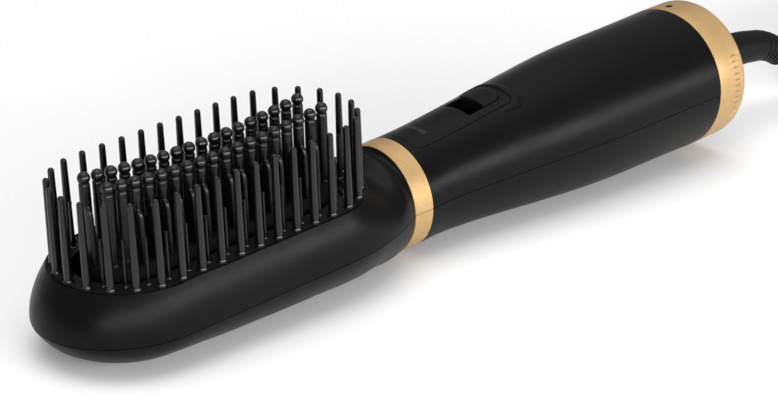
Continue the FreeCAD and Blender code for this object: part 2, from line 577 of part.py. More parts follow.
def handle_solid(grow, x0, x1):
    """Handle outline grown by `grow`, turned about the axis."""
    pts = [V(x, r + grow, 0) for x, r in PTS]
    c = Part.BSplineCurve()
    c.interpolate(pts)
    a, b = pts[0], pts[-1]
    w = Part.Wire([c.toShape(), Part.LineSegment(b, V(b.x, 0, 0)).toShape(),
                   Part.LineSegment(V(b.x, 0, 0), V(a.x, 0, 0)).toShape(), Part.LineSegment(V(a.x, 0, 0), a).toShape()])
    return Part.Face(w).revolve(V(0, 0, 0), V(1, 0, 0), 360)


TALL = [n("prof_t_%c" % (97 + i)) for i in range(len(PROFILE))]


def outer_solid(grow):
    """Outer shape of the handle grown by `grow`: round below the parting line, a little taller than round above it."""
    wires = []
    for (x, r), tall in zip(PTS, TALL):
        r = r + grow
        under = Part.Arc(V(x, r, 0), V(x, 0, -r), V(x, -r, 0)).toShape()
        over = Part.ArcOfEllipse(Part.Ellipse(V(x, 0, r + tall), V(x, r, 0), V(x, 0, 0)), -math.pi / 2, math.pi / 2).toShape()
        wires.append(Part.Wire(Part.__sortEdges__([under, over])))
    return Part.makeLoft(wires, True, False)


HX0, HX1, HWALL = n("handle_x0"), n("handle_x1"), n("handle_wall")
skin = outer_solid(0.0)
hollow = handle_solid(-HWALL, HX0, HX1)
deep = outer_solid(-n("panel_thk"))
pocket_floor = outer_solid(-n("panel_thk") - 0.05)
proud = outer_solid(n("slider_proud"))
print("outer solids", [round(q.Volume) for q in (skin, hollow, deep, pocket_floor, proud)], [q.isValid() for q in (skin, deep, pocket_floor, proud)])
ends = pbox(60, HX0, -40, 40, -40, 40)
wall = skin.cut(hollow).cut(ends)

PX0, PX1, PH = n("panel_x0"), n("panel_x1"), n("panel_half")
pg = n("panel_gap")
up_half = wall.common(pbox(60, 200, -40, 40, GAP, 40))
lo_half = wall.common(pbox(60, 200, -40, 40, -40, -GAP))

# upper half: pocket of the switch panel, window for its tray, lamp window, board posts, screw towers, bayonet grooves
up_half = up_half.cut(round_box(PX0 - pg, PX1 + pg, PH + pg, 5, 40, 2.6 + pg, 2.2 + pg).cut(pocket_floor))
up_half = up_half.cut(pbox(n("tray_x0") - 0.3, n("tray_x1") + 0.2, -n("tray_half") - 0.2, n("tray_half") + 0.2, 5, 40).common(
    pbox(n("tray_x0") - 0.3, n("tray_x1") + 0.2, -20, 20, 8, 25)))
up_half = up_half.cut(pbox(n("lens_x") - 2.0, n("lens_x") + 2.0, -4.6, 4.6, 8, 30))
BZ = n("pcb_z") + n("pcb_thk")
posts = [Part.makeCylinder(1.2, 9, V(x, y, BZ)) for x in (89.0, 118.5) for y in (-5.2, 5.2)]
up_half = up_half.fuse([p.common(handle_solid(-HWALL + 0.6, HX0, HX1)) for p in posts])
HSX, HSY = n("hs_x"), n("hs_y")
for sy in (-HSY, HSY):
    up_half = up_half.fuse(Part.makeCylinder(3.0, 25, V(HSX, sy, 0.3)).common(skin))
for sy in (-HSY, HSY):
    up_half = up_half.cut(Part.makeCylinder(1.25, 9.0, V(HSX, sy, 0.0)))


def groove(start):
    """Bayonet track for one lug: entry from the rear, then a sideways run."""
    lx0, lx1 = n("lug_x0") - 0.2, n("lug_x0") + n("lug_len") + 0.2
    r = n("lug_r") + 0.25
    half, turn = n("lug_deg") / 2 + 1.5, n("lock_deg")
    run = xcyl(r, lx0, lx1, 2 * half + turn, start - half).cut(xcyl(20.0, lx0 - 1, lx1 + 1))
    entry = xcyl(r, lx1 - 0.5, HX1 + 1, 2 * half, start + turn - half).cut(xcyl(20.0, lx0 - 1, HX1 + 2))
    return run.fuse(entry)


up_half = up_half.cut(groove(90.0))
# short dash on top of the shell that the dot on the filter cap lines up with
dash = round_box(187.9, 191.7, 0.3, 20, 30, 0.28, 0.28)
dash.rotate(V(0, 0, 0), V(1, 0, 0), -n("mark_deg"))
up_half = up_half.cut(dash.cut(outer_solid(-0.35)))
if up_half.ShapeType == "Compound" and len(up_half.Solids) == 1:
    up_half = up_half.Solids[0]
feature("handle_upper_shell", up_half)

for sy in (-HSY, HSY):
    lo_half = lo_half.fuse(Part.makeCylinder(3.4, 25, V(HSX, sy, -25.3)).common(skin))
for sy in (-HSY, HSY):
    lo_half = lo_half.cut(Part.makeCylinder(1.35, 40, V(HSX, sy, -40)))
    lo_half = lo_half.cut(Part.makeCylinder(2.6, 26, V(HSX, sy, -40)))
lo_half = lo_half.cut(groove(270.0))
if lo_half.ShapeType == "Compound" and len(lo_half.Solids) == 1:
    lo_half = lo_half.Solids[0]
feature("handle_lower_shell", lo_half)

# switch panel: curved inset plate with a tray for the slider
panel = round_box(PX0, PX1, PH, 5, 40, 2.6, 2.2).common(skin).cut(deep)
tray = round_box(n("tray_x0"), n("tray_x1"), n("tray_half"), n("tray_z"), 40, 0.8, 2.0).common(outer_solid(-0.5))
panel = panel.fuse(tray)
panel = panel.cut(round_box(n("rec_x0"), n("rec_x1"), n("rec_half"), n("rec_z"), 40, 0.8, 2.6))
panel = panel.cut(pbox(n("stemslot_x0"), n("stemslot_x1"), -n("stemslot_half"), n("stemslot_half"), 10, 20))
lens_hole = round_box(n("lens_x") - n("lens_w") / 2 - 0.08, n("lens_x") + n("lens_w") / 2 + 0.08, n("lens_half") + 0.08, 5, 40, 0.9, 0.9)
panel = panel.cut(lens_hole)
if panel.ShapeType == "Compound" and len(panel.Solids) == 1:
    panel = panel.Solids[0]
feature("switch_panel", panel.removeSplitter())

lens = round_box(n("lens_x") - n("lens_w") / 2, n("lens_x") + n("lens_w") / 2, n("lens_half"), 5, 40, 0.85, 0.85).common(
    outer_solid(0.06)).cut(outer_solid(-2.2))
feature("indicator_lens", lens)

slider = round_box(n("slider_x0"), n("slider_x1"), n("slider_half"), n("slider_z"), 40, 1.0, 2.3).common(proud)
top_edges = [e for e in slider.Edges if e.BoundBox.ZMin > n("slider_z") + 1.5]
slider = slider.makeFillet(0.45, top_edges)
stem = pbox(n("slider_x0") + 1.2, n("slider_x0") + 6.0, -1.5, 1.5, 12.4, n("slider_z") + 0.2)
stem = stem.cut(pbox(n("lever_x0") - 0.2, n("lever_x0") + n("lever_len") + 0.2, -3, 3, 11, n("lever_z0") + n("lever_h") + 0.15))
feature("switch_slider", slider.fuse(stem).removeSplitter())

# electrical side of the switch
pz = D("pcb_z")
pcb = box("control_board", D("pcb_x0"), D("pcb_x0") + D("pcb_len"), -D("pcb_half"), D("pcb_half"), pz, pz + D("pcb_thk"), True)
node(pcb, "control_board")
zb = pz + D("pcb_thk")
sw_body = box("switch_block", D("sw_x0"), D("sw_x0") + D("sw_len"), -D("sw_half"), D("sw_half"), zb, zb + D("sw_h"))
sw_slot = box("switch_track", D("sw_x0") + 3.2, D("sw_x0") + 13.4, -D("lever_half") - 0.15, D("lever_half") + 0.15, zb + 1.2, zb + D("sw_h") + 1.0)
sw = doc.addObject("Part::Cut", "slide_switch")
sw.Base, sw.Tool = sw_body, sw_slot
node(sw, "slide_switch")
lever = box("switch_lever", D("lever_x0"), D("lever_x0") + D("lever_len"), -D("lever_half"), D("lever_half"), D("lever_z0"), D("lever_z0") + D("lever_h"), True)
node(lever, "switch_lever")
led = doc.addObject("Part::Cylinder", "indicator_led")
led.setExpression("Radius", "dims.led_r")
led.setExpression("Height", "dims.led_h")
led.Placement = FreeCAD.Placement(V(n("lens_x"), 0, n("pcb_z") + n("pcb_thk")), FreeCAD.Rotation())
node(led, "indicator_led")

# -------------------------------------------------------------------- blower
mx0, mx1 = D("motor_x0"), D("motor_x1")
node(revolved("motor_can", [(mx0 - 2.5, D("bearing_r")), (mx0 - 2.5, D("hub_r")), (mx0, D("hub_r")), (mx0, D("motor_r") - 0.8), (mx0 + 0.8, D("motor_r")),
                            (mx1 - 0.8, D("motor_r")), (mx1, D("motor_r") - 0.8), (mx1, D("hub_r")), (mx1 + 3, D("hub_r")), (mx1 + 3, D("bearing_r"))]), "motor_can")
node(xbar("motor_shaft", D("shaft_r"), D("shaft_x0"), D("shaft_len")), "motor_shaft")

fx0, fx1 = D("fan_x0"), D("fan_x1")
impeller = revolved("fan_impeller", [(fx0, D("fan_bore")), (fx0, D("fan_r")), (fx0 + D("fan_back"), D("fan_r")), (fx0 + D("fan_back"), D("fan_hub_r")),
                                     (fx1 - 1.5, D("fan_hub_r") - 1.0), (fx1, D("fan_bore") + 1.3), (fx1, D("fan_bore"))])
blade_sk = sketch(impeller, "blade_outline", "XZ_Plane", [(fx0 + 0.4, D("fan_hub_r") - 1.6), (fx0 + 0.4, D("fan_r")), (fx1 - 2.6, D("fan_r")), (fx1 - 0.9, D("fan_hub_r") - 1.6)])
blade = impeller.newObject("PartDesign::Pad", "blade")
blade.Profile = blade_sk
blade.Midplane = True
blade.setExpression("Length", "dims.blade_thk")
impeller.Tip = blade
doc.recompute()
blades = impeller.newObject("PartDesign::PolarPattern", "blades")
blades.Originals = [blade]
blades.Axis = (blade_sk, ["H_Axis"])
blades.Angle = 360
blades.Occurrences = int(n("blade_count"))
blades.setExpression("Occurrences", "dims.blade_count")
impeller.Tip = blades
doc.recompute()
node(impeller, "fan_impeller")

shroud = xcyl(n("shroud_r"), n("shroud_x0"), n("shroud_x1")).cut(xcyl(n("shroud_in"), 160, 200))
cup = xcyl(n("cup_r"), n("cup_x0"), n("cup_x1")).cut(xcyl(n("cup_in"), 140, 200))
flange = xcyl(n("flange_r"), n("flange_x0"), n("flange_x0") + n("flange_thk")).cut(xcyl(n("shroud_in"), 160, 200))
flange = flange.cut(pbox(170, 185, -4.2, 4.2, -25, -n("shroud_r") - 0.03))
housing = shroud.fuse([cup, flange])
for a in (45, 135, 225, 315):
    strut = pbox(164.0, 171.4, -1.0, 1.0, n("cup_in") + 0.4, n("shroud_r") - 0.3)
    strut.rotate(V(0, 0, 0), V(1, 0, 0), a)
    housing = housing.fuse(strut)
if housing.ShapeType == "Compound" and len(housing.Solids) == 1:
    housing = housing.Solids[0]
feature("fan_housing", housing.removeSplitter())

# ---------------------------------------------------------------- filter cap
cx0, cx1, cr = D("cap_x0"), D("cap_x1"), D("cap_r")
cap_body = revolved("rear_ring_turned", [(D("spigot_x0"), D("spigot_in")), (D("spigot_x0"), D("spigot_r")), (cx0, D("spigot_r")), (cx0, cr - 0.22), (cx0 + 0.25, cr),
                                  (cx1 - 1.6, cr - 0.06), (cx1 - 0.75, cr - 0.28), (cx1 - 0.25, cr - 0.68), (cx1, cr - 1.25), (cx1, D("cap_bore")),
                                  (cx0 + 1.7, D("cap_bore")), (cx0 + 1.7, D("spigot_in"))])
lugs = []
for a in (90.0, 270.0):
    lugs.append(xcyl(n("lug_r"), n("lug_x0"), n("lug_x0") + n("lug_len"), n("lug_deg"), a - n("lug_deg") / 2).cut(
        xcyl(n("spigot_r") - 0.3, 180, 200)))
cap = cap_body.Shape.fuse(lugs)
dot = Part.makeCylinder(n("dot_r"), 4, V(n("dot_x"), 0, n("cap_r") - 1.1))
dot.rotate(V(0, 0, 0), V(1, 0, 0), -n("mark_deg"))
cap = cap.cut(dot)
if cap.ShapeType == "Compound" and len(cap.Solids) == 1:
    cap = cap.Solids[0]
feature("rear_ring", cap)

gx = D("grille_x0")
grille_disc = revolved("grille_disc", [(gx, D("grille_hole")), (gx, D("grille_r")), (gx + D("grille_thk"), D("grille_r")), (gx + D("grille_thk"), D("grille_hole"))])
slots = []
for i in range(int(n("grille_slots"))):
    s = round_box(9.2, 19.6, n("grille_slot_w") / 2, -5, 5, n("grille_slot_w") / 2 - 0.01, n("grille_slot_w") / 2 - 0.01)
    s.rotate(V(0, 0, 0), V(0, 0, 1), 360.0 * i / n("grille_slots"))
    s.Placement = FreeCAD.Placement(V(n("grille_x0") + 1, 0, 0), TO_X).multiply(s.Placement)
    slots.append(s)
grille = grille_disc.Shape.cut(slots)
if grille.ShapeType == "Compound" and len(grille.Solids) == 1:
    grille = grille.Solids[0]
feature("inlet_grille", grille)
mx = D("mesh_x0")
node(revolved("filter_mesh", [(mx, D("mesh_hole")), (mx, D("mesh_r")), (mx + D("mesh_thk"), D("mesh_r")), (mx + D("mesh_thk"), D("mesh_hole"))]), "filter_mesh")

# ------------------------------------------------- cord anchor, boot, wires
ax0, ax1 = n("anchor_x0"), n("anchor_x0") + n("anchor_thk")
anchor = xcyl(n("anchor_r"), ax0, ax1).cut(xcyl(n("anchor_in"), 180, 200)).cut(pbox(180, 200, -3.8, 3.8, -25, -12))
anchor = anchor.fuse(xcyl(n("anchor_hub_r"), ax0, n("anchor_hub_x1")))
for a in (0, 120, 240):
    sp = pbox(ax0, ax1, -n("spoke_w") / 2, n("spoke_w") / 2, 5.0, n("anchor_in") + 0.8)
    sp.rotate(V(0, 0, 0), V(1, 0, 0), a)
    anchor = anchor.fuse(sp)
if anchor.ShapeType == "Compound" and len(anchor.Solids) == 1:
    anchor = anchor.Solids[0]
feature("cord_anchor", anchor.removeSplitter())

bx0, bbx, bz = n("boot_x0"), n("boot_bend_x"), n("boot_z")
straight = Part.Face(Part.makePolygon([V(bx0, 0, bz), V(bx0, n("boot_r0"), bz), V(n("cap_x1"), n("boot_r0"), bz), V(bbx, n("boot_r1"), bz), V(bbx, 0, bz), V(bx0, 0, bz)])).revolve(
    V(0, 0, bz), V(1, 0, 0), 360)
# easy bend first, tighter towards the end
stations = [(V(bbx, 0, bz), 0.0)]
for bend_r, bend_deg, steps in ((n("boot_bend_r"), n("boot_bend_deg"), 4), (n("boot_end_r"), n("boot_end_deg"), 6)):
    c0, a0 = stations[-1]
    for i in range(1, steps + 1):
        a1 = a0 + math.radians(bend_deg) * i / steps
        stations.append((c0 + V(bend_r * (math.sin(a1) - math.sin(a0)), 0, -bend_r * (math.cos(a0) - math.cos(a1))), a1))
rings = []
for i, (c, a) in enumerate(stations):
    rings.append(Part.Wire(Part.Circle(c, V(math.cos(a), 0, -math.sin(a)), n("boot_r1") + (n("boot_r2") - n("boot_r1")) * i / (len(stations) - 1)).toShape()))
bent = Part.makeLoft(rings, True, False)
boot = straight.fuse(bent)
if boot.ShapeType == "Compound" and len(boot.Solids) == 1:
    boot = boot.Solids[0]
feature("strain_relief", boot)
boot_end, boot_turn = stations[-1]
boot_dir = V(math.cos(boot_turn), 0, -math.sin(boot_turn))


def rounded_path(pts, factor=0.45, radii=None):
    """Straight runs joined by arcs that touch them; returns the wire, its length and the radii."""
    edges, used = [], []
    last = pts[0]
    for i in range(1, len(pts) - 1):
        a, b, c = pts[i - 1], pts[i], pts[i + 1]
        u, w = (a - b), (c - b)
        lu, lw = u.Length, w.Length
        u.normalize(); w.normalize()
        turn = math.pi - u.getAngle(w)
        t = factor * min(lu, lw)
        r = t / math.tan(turn / 2)
        if radii and radii.get(i):
            r = radii[i]
            t = r * math.tan(turn / 2)
        p, q = b + u * t, b + w * t
        m = u + w
        m.normalize()
        mid = b + m * (math.hypot(r, t) - r)
        edges.append(Part.LineSegment(last, p).toShape())
        edges.append(Part.Arc(p, mid, q).toShape())
        used.append(r)
        last = q
    edges.append(Part.LineSegment(last, pts[-1]).toShape())
    wire = Part.Wire(edges)
    return wire, wire.Length, used


def tube(pts, r, name, radii=None):
    wire, length, used = rounded_path(pts, 0.45, radii)
    d = pts[1] - pts[0]
    ring = Part.Wire(Part.Circle(pts[0], d, r).toShape())
    s = wire.makePipeShell([ring], True, False)
    print("%s: length %.1f mm, volume %.0f, section x length %.0f, radii %s" % (
        name, length, s.Volume, math.pi * r * r * length, ["%.1f" % k for k in used]))
    return s


wires = []
for sy in (-n("wire_y"), n("wire_y")):
    wires.append(tube([V(186.0, sy, -7.6), V(186.0, sy, -19.5), V(168.0, sy, -19.45), V(124.0, sy, -15.4)], n("wire_r"), "lead", {1: 2.5, 2: 25.0}))
feature("lead_wires", Part.makeCompound(wires))

# -------------------------------------------------------------------- screws
def screw(z_head, length):
    s = turned([(0, z_head), (n("scr_head_r"), z_head), (n("scr_head_r"), z_head + 1.1), (1.3, z_head + n("scr_head_h")), (n("scr_r"), z_head + n("scr_head_h")),
                (n("scr_r"), z_head + length - 0.8), (0.3, z_head + length), (0, z_head + length)])
    cross = pbox(-1.5, 1.5, -0.35, 0.35, z_head - 1, z_head + 0.9).fuse(pbox(-0.35, 0.35, -1.5, 1.5, z_head - 1, z_head + 0.9))
    return s.cut(cross)


feature("head_screws", Part.makeCompound([screw(-8.0, 13.2).translated(V(sx, sy, 0)) for sx in DSX for sy in (-DSY, DSY)]))
feature("handle_screws", Part.makeCompound([screw(-16.0, 23.5).translated(V(HSX, sy, 0)) for sy in (-HSY, HSY)]))

# ------------------------------------------------------- the brush set down
LIE = FreeCAD.Placement(V(-n("org_x"), 0, -n("org_z")), FreeCAD.Rotation(V(0, 1, 0), -n("tilt_deg")))

# ------------------------------------------------------------ cord as it lies
CR = n("cord_r")
HX, HRUN, HZ, HR, LAYER = n("hank_x0"), n("hank_run"), n("hank_z0"), n("hank_turn_r"), n("layer")
start = LIE.multVec(boot_end)
lead = LIE.Rotation.multVec(boot_dir)
# out of the boot, down to the surface and in an easy bend to the near side of the hank
ROUTE = [start, start + lead * 9.0, V(199.5, -0.1, 9.4), V(210.2, -3.4, 5.0), V(219.3, -9.9, HZ + CR + 0.1),
         V(224.95, -17.4, HZ + CR), V(231.1, -21.75, HZ + CR)]
print("cord route", ["(%.2f, %.2f, %.2f)" % (p.x, p.y, p.z) for p in ROUTE])
feature("power_cord", tube(ROUTE, CR, "power_cord"), False)

# hank: the folded length of the cord, an oblong ring of the outer shape of its turns
hank = stadium(HRUN / 2, n("hank_ro"), HZ, HZ + n("hank_h")).cut(stadium(HRUN / 2, n("hank_ri"), -5, 50))
hank = hank.makeChamfer(2.0, [e for e in hank.Edges if abs(e.BoundBox.ZLength) < 1e-6])
feature("cord_hank", hank.translated(V(HX + HRUN / 2, 0, 0)), False)

# two straps round the long sides of the hank
tw, tt, tx = D("tie_w"), D("tie_thk"), D("tie_x")
ri, ro, zt = D("hank_ri") - 0.1, D("hank_ro") + 0.1, D("hank_z0") + D("hank_h") + 0.1
straps = []
for name, y0, y1 in (("near", -ro, -ri), ("far", ri, ro)):
    outside = box("strap_%s_outside" % name, tx - 0.5 * tw, tx + 0.5 * tw, y0 - tt, y1 + tt, Q(0.0, "0"), zt + tt)
    inside = box("strap_%s_inside" % name, tx - tw, tx + tw, y0, y1, tt, zt)
    strap = doc.addObject("Part::Cut", "strap_" + name)
    strap.Base, strap.Tool = outside, inside
    straps.append(strap)
ties = doc.addObject("Part::Compound", "cord_ties")
ties.Links = straps
node(ties, "cord_ties", False)

# plug: flat two-pin plug lying behind the hank, its tail towards the cord
PLX, PLY, PLZ = n("plug_x"), n("plug_y"), n("plug_h") / 2 + 0.05
XR = HX + HRUN
TAIL = [V(XR - 6.0, -HR, HZ + CR + 2 * LAYER), V(XR + 8.0, -HR + 0.5, HZ + CR + 2 * LAYER - 0.65), V(XR + 20.0, -HR + 3.9, HZ + CR + 2 * LAYER - 2.95),
        V(XR + 31.0, -HR + 10.3, HZ + CR + 2 * LAYER - 4.95), V(PLX, PLY, PLZ)]
feature("cord_tail", tube(TAIL, CR, "cord_tail"), False)
pw, ph, pl = n("plug_w"), n("plug_h"), n("plug_len")


def rect_wire(x, w, h, r):
    a, b = w / 2, h / 2
    k = r * (1 - math.sqrt(0.5))
    e = []
    corners = [(a, b, 1, 1), (-a, b, -1, 1), (-a, -b, -1, -1), (a, -b, 1, -1)]
    seq = []
    for cx, cy, sx, sy in corners:
        p = V(x, cx, cy - sy * r) if sx * sy > 0 else V(x, cx - sx * r, cy)
        q = V(x, cx - sx * r, cy) if sx * sy > 0 else V(x, cx, cy - sy * r)
        seq.append((p, V(x, cx - sx * k, cy - sy * k), q))
    for i, (p, m, q) in enumerate(seq):
        e.append(Part.Arc(p, m, q).toShape())
        e.append(Part.LineSegment(q, seq[(i + 1) % 4][0]).toShape())
    return Part.Wire(e)


tl = n("plug_tail")
plug = Part.makeLoft([rect_wire(0, 9.0, 9.0, 4.2), rect_wire(tl * 0.55, 11.2, 11.2, 5.0), rect_wire(tl, 15.0, 14.0, 5.5),
                      rect_wire(tl + 7, 25.0, 18.0, 6.0), rect_wire(tl + 15, pw - 1.0, ph - 0.4, 6.5)], True, False)
front = Part.makeLoft([rect_wire(tl + 15, pw - 1.0, ph - 0.4, 6.5), rect_wire(tl + pl, pw, ph, 6.5)], True, True)
plug = plug.fuse(front)
if plug.ShapeType == "Compound" and len(plug.Solids) == 1:
    plug = plug.Solids[0]
plug = plug.removeSplitter()
TO_PLUG = FreeCAD.Placement(V(PLX, PLY, PLZ), FreeCAD.Rotation())
body_ = doc.addObject("Part::Feature", "plug_body")
body_.Shape = plug
body_.Placement = TO_PLUG
node(body_, "plug_body", False)
pins = []
for sy in (-1, 1):
    pr, pn = n("plug_pin_r"), n("plug_pin_len")
    p = Part.Face(Part.makePolygon([V(0, 0, 0), V(0, pr, 0), V(pn - 1.8, pr, 0), V(pn - 0.6, pr - 0.6, 0), V(pn, pr - 1.5, 0), V(pn, 0, 0), V(0, 0, 0)])).revolve(V(0, 0, 0), V(1, 0, 0), 360)
    pins.append(p.translated(V(tl + pl, sy * n("plug_pin_gap") / 2, 0)))
pins_ = doc.addObject("Part::Feature", "plug_pins")
pins_.Shape = Part.makeCompound(pins)
pins_.Placement = TO_PLUG
node(pins_, "plug_pins", False)

doc.recompute()
for obj, with_brush in NODES:
    if with_brush:
        obj.Placement = LIE.multiply(obj.Placement)
doc.recompute()

# ----------------------------------------------------------- check and write
bad = []
for o in doc.Objects:
    if "Invalid" in o.State or "Error" in o.State:
        bad.append("%s: %s" % (o.Name, o.State))
for o, _ in NODES:
    s = o.Shape
    if s.isNull() or not s.isValid() or not s.Solids:
        bad.append("%s: shape" % o.Label)
if bad:
    raise RuntimeError("; ".join(bad))
os.makedirs("parts", exist_ok=True)
low_z = 1e9
box_all = None
for o, with_brush in NODES:
    s = o.Shape
    bb = s.optimalBoundingBox(False, False)
    if with_brush and o.Label != "strain_relief":
        if box_all is None:
            box_all = FreeCAD.BoundBox(bb)
        else:
            box_all.add(bb)
    print("%-20s solids %3d volume %9.1f  x %.2f..%.2f y %.2f..%.2f z %.2f..%.2f" % (
        o.Label, len(s.Solids), s.Volume, bb.XMin, bb.XMax, bb.YMin, bb.YMax, bb.ZMin, bb.ZMax))
    s.exportStep("parts/%s.step" % o.Label)
print("brush without cord: x %.3f..%.3f y %.3f..%.3f z %.3f..%.3f" % (
    box_all.XMin, box_all.XMax, box_all.YMin, box_all.YMax, box_all.ZMin, box_all.ZMax))
print(len(NODES), "nodes")
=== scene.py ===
import math
import bpy
import bmesh
from mathutils import Matrix, Vector
from mathutils.bvhtree import BVHTree


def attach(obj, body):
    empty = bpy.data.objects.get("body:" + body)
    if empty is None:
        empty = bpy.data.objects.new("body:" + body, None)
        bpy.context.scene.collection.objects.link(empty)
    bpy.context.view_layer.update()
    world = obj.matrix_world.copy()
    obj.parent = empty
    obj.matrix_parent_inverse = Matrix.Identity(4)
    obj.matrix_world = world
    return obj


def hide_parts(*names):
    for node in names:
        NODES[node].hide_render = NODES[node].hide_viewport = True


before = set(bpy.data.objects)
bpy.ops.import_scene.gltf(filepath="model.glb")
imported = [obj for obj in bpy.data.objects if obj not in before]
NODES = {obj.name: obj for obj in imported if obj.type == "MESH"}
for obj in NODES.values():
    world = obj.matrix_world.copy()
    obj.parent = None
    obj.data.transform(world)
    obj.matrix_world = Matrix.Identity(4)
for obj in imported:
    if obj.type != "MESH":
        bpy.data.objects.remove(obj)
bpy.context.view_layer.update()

scene = bpy.context.scene
MM = 0.001

# The brush's own axes (X along the handle, Z through the bristles, handle axis at
# y = z = 0, millimetres) and how the brush lies in the row frame.
TILT = math.radians(3.62)
ORG_X, ORG_Z = 76.30, -12.90
CT, ST = math.cos(TILT), math.sin(TILT)


def lie(x, y, z):
    """Point in the brush's own axes (mm) to the row frame (m)."""
    return Vector((x * CT - z * ST - ORG_X, y, x * ST + z * CT - ORG_Z)) * MM


LIE = Matrix(((CT, 0, -ST, -ORG_X * MM), (0, 1, 0, 0), (ST, 0, CT, -ORG_Z * MM), (0, 0, 0, 1)))

# -------------------------------------------------------------------- camera
cam_data = bpy.data.cameras.new("camera")
cam = bpy.data.objects.new("camera", cam_data)
scene.collection.objects.link(cam)
cam_data.sensor_width = 36.0
cam_data.lens = 100.1314
cam_data.clip_start = 0.05
cam_data.clip_end = 20.0
right = Vector((0.716400, -0.697382, 0.020733)).normalized()
fwd = Vector((0.652720, 0.659431, -0.372971)).normalized()
up = right.cross(fwd).normalized()
right = fwd.cross(up).normalized()
m = Matrix((right, up, -fwd)).transposed().to_4x4()
m.translation = Vector((-0.426520, -0.421524, 0.253032))
cam.matrix_world = m
scene.camera = cam

# ------------------------------------------------------------------ materials


def material(name):
    mat = bpy.data.materials.new(name)
    mat.use_nodes = True
    nt = mat.node_tree
    for nd in list(nt.nodes):
        nt.nodes.remove(nd)
    out = nt.nodes.new("ShaderNodeOutputMaterial")
    bsdf = nt.nodes.new("ShaderNodeBsdfPrincipled")
    nt.links.new(bsdf.outputs[0], out.inputs[0])
    return mat, nt, bsdf


def coords(nt, scale=(1, 1, 1), rot=(0, 0, 0)):
    tc = nt.nodes.new("ShaderNodeTexCoord")
    mp = nt.nodes.new("ShaderNodeMapping")
    mp.inputs["Scale"].default_value = scale
    mp.inputs["Rotation"].default_value = rot
    nt.links.new(tc.outputs["Object"], mp.inputs[0])
    return mp.outputs[0]


def noise(nt, vec, scale, detail=2.0, rough=0.5):
    t = nt.nodes.new("ShaderNodeTexNoise")
    t.inputs["Scale"].default_value = scale
    t.inputs["Detail"].default_value = detail
    t.inputs["Roughness"].default_value = rough
    nt.links.new(vec, t.inputs["Vector"])
    return t.outputs[0]


def spread(nt, fac, lo, hi, a=0.3, b=0.7):
    r = nt.nodes.new("ShaderNodeMapRange")
    r.inputs["From Min"].default_value = a
    r.inputs["From Max"].default_value = b
    r.inputs["To Min"].default_value = lo
    r.inputs["To Max"].default_value = hi
    nt.links.new(fac, r.inputs["Value"])
    return r.outputs[0]


def tint(nt, fac, c0, c1, a=0.3, b=0.7):
    r = nt.nodes.new("ShaderNodeValToRGB")
    r.color_ramp.elements[0].position = a
    r.color_ramp.elements[1].position = b
    r.color_ramp.elements[0].color = (*c0, 1)
    r.color_ramp.elements[1].color = (*c1, 1)
    nt.links.new(fac, r.inputs[0])
    return r.outputs[0]


def bump(nt, bsdf, fac, strength, dist):
    b = nt.nodes.new("ShaderNodeBump")
    b.inputs["Strength"].default_value = strength
    b.inputs["Distance"].default_value = dist
    nt.links.new(fac, b.inputs["Height"])
    nt.links.new(b.outputs[0], bsdf.inputs["Normal"])
    return b


def plastic(name, c0, c1, rough, spec, grain=5200.0, depth=0.000012, strength=0.35, cloud=0.05):
    """Moulded plastic: eroded-mould grain in the bump, faint handling clouds in roughness and colour."""
    mat, nt, p = material(name)
    vec = coords(nt)
    fine = noise(nt, vec, grain, 3.0, 0.6)
    broad = noise(nt, vec, 55.0, 4.0, 0.6)
    nt.links.new(tint(nt, broad, c0, c1), p.inputs["Base Color"])
    nt.links.new(spread(nt, broad, rough - cloud, rough + cloud), p.inputs["Roughness"])
    p.inputs["Specular IOR Level"].default_value = spec
    bump(nt, p, fine, strength, depth)
    return mat


def metal(name, c0, c1, rough, grain=(1, 1, 1), scale=3000.0, depth=0.00001, strength=0.3, spreadr=0.06):
    mat, nt, p = material(name)
    vec = coords(nt, grain)
    fine = noise(nt, vec, scale, 3.0, 0.6)
    p.inputs["Metallic"].default_value = 1.0
    nt.links.new(tint(nt, fine, c0, c1), p.inputs["Base Color"])
    nt.links.new(spread(nt, fine, rough - spreadr, rough + spreadr), p.inputs["Roughness"])
    bump(nt, p, fine, strength, depth)
    return mat


M_BODY = plastic("soft_black", (0.0021, 0.0020, 0.0021), (0.0028, 0.0027, 0.0028), 0.33, 0.092)
M_PANEL = plastic("panel_black", (0.0021, 0.0021, 0.0022), (0.0029, 0.0029, 0.0030), 0.38, 0.092, 4200.0, 0.000014, 0.45)
M_PIN = plastic("bristle_charcoal", (0.0022, 0.0022, 0.0023), (0.0034, 0.0033, 0.0035), 0.25, 0.40, 3600.0, 0.000008, 0.25)
M_FOOT = plastic("foot_charcoal", (0.0048, 0.0048, 0.0050), (0.0068, 0.0067, 0.0070), 0.24, 0.85, 3600.0, 0.000006, 0.15)
M_FIELD = plastic("field_charcoal", (0.0036, 0.0035, 0.0037), (0.0052, 0.0051, 0.0053), 0.44, 0.20, 3600.0, 0.000012, 0.35)
M_GRILLE = plastic("grille_black", (0.0060, 0.0060, 0.0062), (0.0085, 0.0085, 0.0088), 0.45, 0.35)
M_RUBBER = plastic("cord_rubber", (0.0024, 0.0024, 0.0025), (0.0036, 0.0036, 0.0037), 0.50, 0.12, 2600.0, 0.00002, 0.4)
M_PLUG = plastic("plug_black", (0.0090, 0.0090, 0.0092), (0.0125, 0.0124, 0.0126), 0.50, 0.35, 2600.0, 0.00002, 0.4)
M_INNER = plastic("inner_plastic", (0.040, 0.040, 0.042), (0.055, 0.055, 0.057), 0.50, 0.35)
M_MICA = plastic("mica", (0.40, 0.34, 0.22), (0.52, 0.45, 0.31), 0.45, 0.4, 900.0)
M_BOARD = plastic("board_green", (0.012, 0.075, 0.022), (0.018, 0.095, 0.030), 0.35, 0.5, 1500.0)
